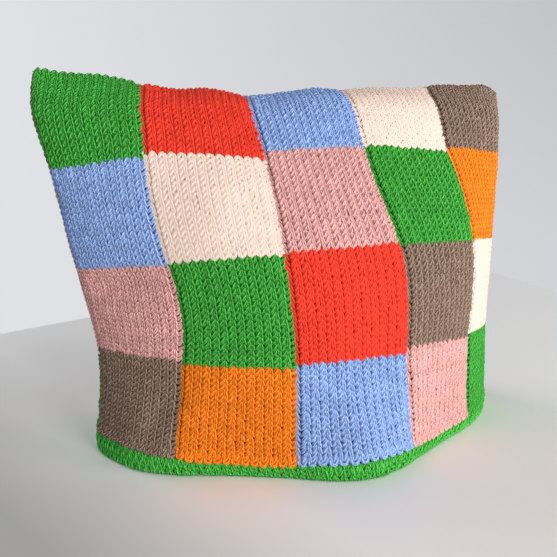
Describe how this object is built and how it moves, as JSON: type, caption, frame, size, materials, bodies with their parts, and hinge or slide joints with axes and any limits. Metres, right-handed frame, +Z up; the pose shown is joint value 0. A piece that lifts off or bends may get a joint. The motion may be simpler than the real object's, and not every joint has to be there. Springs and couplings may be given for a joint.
{
  "type": "tea cosy",
  "caption": "Hand-knitted patchwork tea cosy, a soft bag with two ears that stands on a turned green band, open end down.",
  "frame": {"origin": "under the middle of the cosy's box, on the plane it stands on", "axes": "+Z up from the foot to the top seam, +X along the top seam to the right as the front panel is seen, front panel facing -Y"},
  "size_m": [0.291, 0.1684, 0.2204],
  "materials": {
    "patchwork_wool": "soft matt hand knit, plain squares of seven colours",
    "wool_green": "soft matt stocking stitch wool",
    "wool_red": "soft matt stocking stitch wool",
    "wool_blue": "soft matt stocking stitch wool",
    "wool_cream": "soft matt stocking stitch wool",
    "wool_taupe": "soft matt stocking stitch wool",
    "wool_pink": "soft matt stocking stitch wool",
    "wool_orange": "soft matt stocking stitch wool"
  },
  "bodies": {
    "root": {"panel_front": "patchwork_wool", "panel_back": "patchwork_wool", "hem_band": "wool_green"}
  },
  "joints": []
}
